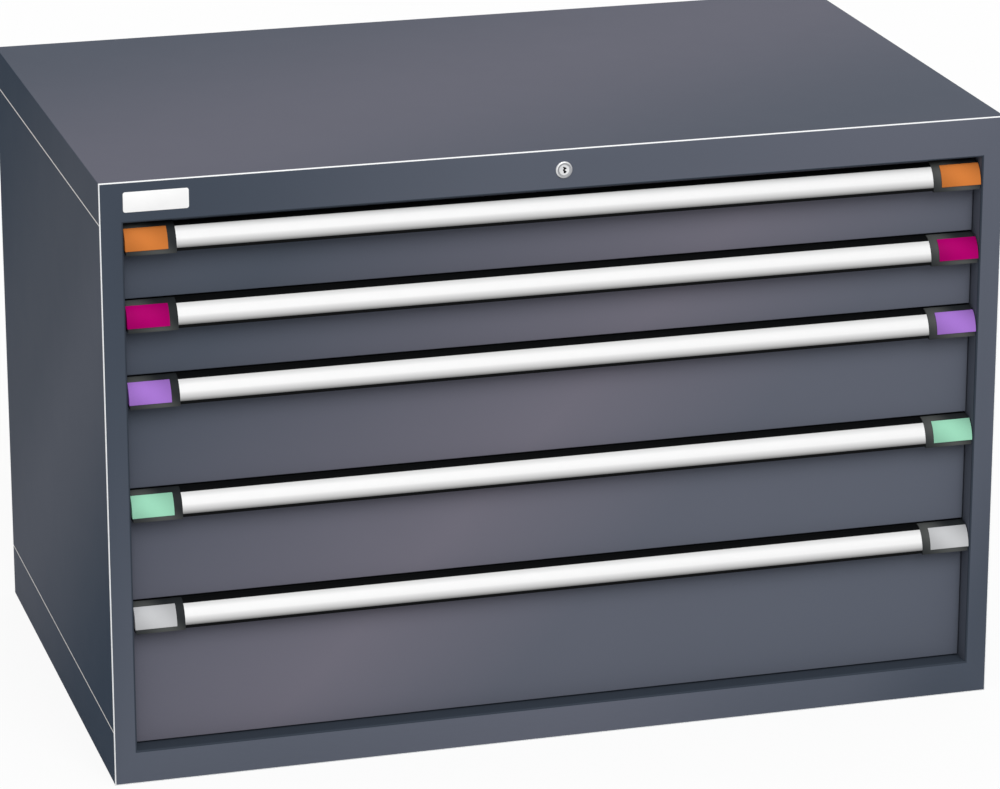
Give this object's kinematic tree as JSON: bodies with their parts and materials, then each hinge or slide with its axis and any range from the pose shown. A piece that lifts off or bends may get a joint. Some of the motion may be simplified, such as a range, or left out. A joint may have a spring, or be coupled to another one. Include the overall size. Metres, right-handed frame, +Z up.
{
  "type": "drawer cabinet",
  "caption": "Wide sheet-steel drawer cabinet with full-width label grips on its drawers, coloured end clips, roller slides and a central lock.",
  "frame": {"origin": "on the floor under the middle of the cabinet", "axes": "+X to the right seen from the front, +Y from the front to the back, +Z up"},
  "size_m": [1.193, 0.7271, 0.8],
  "materials": {
    "steel_paint": "satin powder coat",
    "zinc_steel": "zinc plated",
    "lock_chrome": "satin nickel",
    "plate_white": "gloss",
    "roller_nylon": "matte",
    "grip_black": "satin",
    "label_white": "clear cover over white paper",
    "cap_grey": "satin",
    "clip_orange": "satin",
    "clip_magenta": "satin",
    "clip_violet": "satin",
    "clip_mint": "satin",
    "clip_silver": "satin"
  },
  "bodies": {
    "cabinet": {"top_panel": "steel_paint", "base_panel": "steel_paint", "left_side_panel": "steel_paint", "right_side_panel": "steel_paint", "back_panel": "steel_paint", "front_frame": "steel_paint", "uprights": "zinc_steel", "fixed_rails": "zinc_steel", "name_plate": "plate_white", "lock_housing": "lock_chrome", "lock_guides": "zinc_steel"},
    "lock_core": {"lock_core": "lock_chrome", "lock_cam": "zinc_steel"},
    "lock_rod": {"lock_rod": "zinc_steel"},
    "lock_bar": {"lock_bar": "zinc_steel"},
    "drawer_1": {"drawer_1_box": "steel_paint", "drawer_1_handle": "grip_black", "drawer_1_label_strip": "label_white", "drawer_1_end_caps": "cap_grey", "drawer_1_clips": "clip_orange"},
    "drawer_2": {"drawer_2_box": "steel_paint", "drawer_2_handle": "grip_black", "drawer_2_label_strip": "label_white", "drawer_2_end_caps": "cap_grey", "drawer_2_clips": "clip_magenta"},
    "drawer_3": {"drawer_3_box": "steel_paint", "drawer_3_handle": "grip_black", "drawer_3_label_strip": "label_white", "drawer_3_end_caps": "cap_grey", "drawer_3_clips": "clip_violet"},
    "drawer_4": {"drawer_4_box": "steel_paint", "drawer_4_handle": "grip_black", "drawer_4_label_strip": "label_white", "drawer_4_end_caps": "cap_grey", "drawer_4_clips": "clip_mint"},
    "drawer_5": {"drawer_5_box": "steel_paint", "drawer_5_handle": "grip_black", "drawer_5_label_strip": "label_white", "drawer_5_end_caps": "cap_grey", "drawer_5_clips": "clip_silver"},
    "slide_1": {"slide_1_carriages": "zinc_steel"},
    "slide_1_front_rollers": {"slide_1_front_rollers": "roller_nylon"},
    "slide_1_middle_rollers": {"slide_1_middle_rollers": "roller_nylon"},
    "slide_1_rear_rollers": {"slide_1_rear_rollers": "roller_nylon"},
    "slide_2": {"slide_2_carriages": "zinc_steel"},
    "slide_2_front_rollers": {"slide_2_front_rollers": "roller_nylon"},
    "slide_2_middle_rollers": {"slide_2_middle_rollers": "roller_nylon"},
    "slide_2_rear_rollers": {"slide_2_rear_rollers": "roller_nylon"},
    "slide_3": {"slide_3_carriages": "zinc_steel"},
    "slide_3_front_rollers": {"slide_3_front_rollers": "roller_nylon"},
    "slide_3_middle_rollers": {"slide_3_middle_rollers": "roller_nylon"},
    "slide_3_rear_rollers": {"slide_3_rear_rollers": "roller_nylon"},
    "slide_4": {"slide_4_carriages": "zinc_steel"},
    "slide_4_front_rollers": {"slide_4_front_rollers": "roller_nylon"},
    "slide_4_middle_rollers": {"slide_4_middle_rollers": "roller_nylon"},
    "slide_4_rear_rollers": {"slide_4_rear_rollers": "roller_nylon"},
    "slide_5": {"slide_5_carriages": "zinc_steel"},
    "slide_5_front_rollers": {"slide_5_front_rollers": "roller_nylon"},
    "slide_5_middle_rollers": {"slide_5_middle_rollers": "roller_nylon"},
    "slide_5_rear_rollers": {"slide_5_rear_rollers": "roller_nylon"}
  },
  "joints": [
    {"name": "drawer_1_slide", "type": "slide", "parent": "cabinet", "child": "drawer_1", "axis": [0, -1, 0], "range_m": [0, 0.56]},
    {"name": "drawer_2_slide", "type": "slide", "parent": "cabinet", "child": "drawer_2", "axis": [0, -1, 0], "range_m": [0, 0.56]},
    {"name": "drawer_3_slide", "type": "slide", "parent": "cabinet", "child": "drawer_3", "axis": [0, -1, 0], "range_m": [0, 0.56]},
    {"name": "drawer_4_slide", "type": "slide", "parent": "cabinet", "child": "drawer_4", "axis": [0, -1, 0], "range_m": [0, 0.56]},
    {"name": "drawer_5_slide", "type": "slide", "parent": "cabinet", "child": "drawer_5", "axis": [0, -1, 0], "range_m": [0, 0.56]},
    {"name": "carriage_1_slide", "type": "slide", "parent": "cabinet", "child": "slide_1", "axis": [0, -1, 0], "range_m": [0, 0.28]},
    {"name": "front_rollers_1_turn", "type": "hinge", "parent": "slide_1", "child": "slide_1_front_rollers", "pos_m": [0, -0.2955, 0.6713], "axis": [1, 0, 0], "range_deg": [0, 1240]},
    {"name": "middle_rollers_1_turn", "type": "hinge", "parent": "slide_1", "child": "slide_1_middle_rollers", "pos_m": [0, -0.0162, 0.6713], "axis": [1, 0, 0], "range_deg": [0, 1240]},
    {"name": "rear_rollers_1_turn", "type": "hinge", "parent": "slide_1", "child": "slide_1_rear_rollers", "pos_m": [0, 0.316, 0.6713], "axis": [-1, 0, 0], "range_deg": [0, 1240]},
    {"name": "carriage_2_slide", "type": "slide", "parent": "cabinet", "child": "slide_2", "axis": [0, -1, 0], "range_m": [0, 0.28]},
    {"name": "front_rollers_2_turn", "type": "hinge", "parent": "slide_2", "child": "slide_2_front_rollers", "pos_m": [0, -0.2955, 0.5713], "axis": [1, 0, 0], "range_deg": [0, 1240]},
    {"name": "middle_rollers_2_turn", "type": "hinge", "parent": "slide_2", "child": "slide_2_middle_rollers", "pos_m": [0, -0.0162, 0.5713], "axis": [1, 0, 0], "range_deg": [0, 1240]},
    {"name": "rear_rollers_2_turn", "type": "hinge", "parent": "slide_2", "child": "slide_2_rear_rollers", "pos_m": [0, 0.316, 0.5713], "axis": [-1, 0, 0], "range_deg": [0, 1240]},
    {"name": "carriage_3_slide", "type": "slide", "parent": "cabinet", "child": "slide_3", "axis": [0, -1, 0], "range_m": [0, 0.28]},
    {"name": "front_rollers_3_turn", "type": "hinge", "parent": "slide_3", "child": "slide_3_front_rollers", "pos_m": [0, -0.2955, 0.4213], "axis": [1, 0, 0], "range_deg": [0, 1240]},
    {"name": "middle_rollers_3_turn", "type": "hinge", "parent": "slide_3", "child": "slide_3_middle_rollers", "pos_m": [0, -0.0162, 0.4213], "axis": [1, 0, 0], "range_deg": [0, 1240]},
    {"name": "rear_rollers_3_turn", "type": "hinge", "parent": "slide_3", "child": "slide_3_rear_rollers", "pos_m": [0, 0.316, 0.4213], "axis": [-1, 0, 0], "range_deg": [0, 1240]},
    {"name": "carriage_4_slide", "type": "slide", "parent": "cabinet", "child": "slide_4", "axis": [0, -1, 0], "range_m": [0, 0.28]},
    {"name": "front_rollers_4_turn", "type": "hinge", "parent": "slide_4", "child": "slide_4_front_rollers", "pos_m": [0, -0.2955, 0.2713], "axis": [1, 0, 0], "range_deg": [0, 1240]},
    {"name": "middle_rollers_4_turn", "type": "hinge", "parent": "slide_4", "child": "slide_4_middle_rollers", "pos_m": [0, -0.0162, 0.2713], "axis": [1, 0, 0], "range_deg": [0, 1240]},
    {"name": "rear_rollers_4_turn", "type": "hinge", "parent": "slide_4", "child": "slide_4_rear_rollers", "pos_m": [0, 0.316, 0.2713], "axis": [-1, 0, 0], "range_deg": [0, 1240]},
    {"name": "carriage_5_slide", "type": "slide", "parent": "cabinet", "child": "slide_5", "axis": [0, -1, 0], "range_m": [0, 0.28]},
    {"name": "front_rollers_5_turn", "type": "hinge", "parent": "slide_5", "child": "slide_5_front_rollers", "pos_m": [0, -0.2955, 0.0763], "axis": [1, 0, 0], "range_deg": [0, 1240]},
    {"name": "middle_rollers_5_turn", "type": "hinge", "parent": "slide_5", "child": "slide_5_middle_rollers", "pos_m": [0, -0.0162, 0.0763], "axis": [1, 0, 0], "range_deg": [0, 1240]},
    {"name": "rear_rollers_5_turn", "type": "hinge", "parent": "slide_5", "child": "slide_5_rear_rollers", "pos_m": [0, 0.316, 0.0763], "axis": [-1, 0, 0], "range_deg": [0, 1240]},
    {"name": "lock_bar_slide", "type": "slide", "parent": "cabinet", "child": "lock_bar", "axis": [0, 0, -1], "range_m": [0, 0.012]},
    {"name": "lock_turn", "type": "hinge", "parent": "cabinet", "child": "lock_core", "pos_m": [0, -0.3625, 0.773], "axis": [0, -1, 0], "range_deg": [0, 90]},
    {"name": "lock_rod_slide", "type": "slide", "parent": "cabinet", "child": "lock_rod", "axis": [1, 0, 0], "range_m": [0, 0.0121]}
  ],
  "couplings": [
    {"joint": "carriage_1_slide", "follows": "drawer_1_slide", "ratio": 0.5},
    {"joint": "front_rollers_1_turn", "follows": "drawer_1_slide", "rad_per_m": 38.462},
    {"joint": "middle_rollers_1_turn", "follows": "drawer_1_slide", "rad_per_m": 38.462},
    {"joint": "rear_rollers_1_turn", "follows": "drawer_1_slide", "rad_per_m": 38.462},
    {"joint": "carriage_2_slide", "follows": "drawer_2_slide", "ratio": 0.5},
    {"joint": "front_rollers_2_turn", "follows": "drawer_2_slide", "rad_per_m": 38.462},
    {"joint": "middle_rollers_2_turn", "follows": "drawer_2_slide", "rad_per_m": 38.462},
    {"joint": "rear_rollers_2_turn", "follows": "drawer_2_slide", "rad_per_m": 38.462},
    {"joint": "carriage_3_slide", "follows": "drawer_3_slide", "ratio": 0.5},
    {"joint": "front_rollers_3_turn", "follows": "drawer_3_slide", "rad_per_m": 38.462},
    {"joint": "middle_rollers_3_turn", "follows": "drawer_3_slide", "rad_per_m": 38.462},
    {"joint": "rear_rollers_3_turn", "follows": "drawer_3_slide", "rad_per_m": 38.462},
    {"joint": "carriage_4_slide", "follows": "drawer_4_slide", "ratio": 0.5},
    {"joint": "front_rollers_4_turn", "follows": "drawer_4_slide", "rad_per_m": 38.462},
    {"joint": "middle_rollers_4_turn", "follows": "drawer_4_slide", "rad_per_m": 38.462},
    {"joint": "rear_rollers_4_turn", "follows": "drawer_4_slide", "rad_per_m": 38.462},
    {"joint": "carriage_5_slide", "follows": "drawer_5_slide", "ratio": 0.5},
    {"joint": "front_rollers_5_turn", "follows": "drawer_5_slide", "rad_per_m": 38.462},
    {"joint": "middle_rollers_5_turn", "follows": "drawer_5_slide", "rad_per_m": 38.462},
    {"joint": "rear_rollers_5_turn", "follows": "drawer_5_slide", "rad_per_m": 38.462},
    {"joint": "lock_turn", "follows": "lock_bar_slide", "rad_per_m": 130.9},
    {"joint": "lock_rod_slide", "follows": "lock_bar_slide", "ratio": 1}
  ]
}
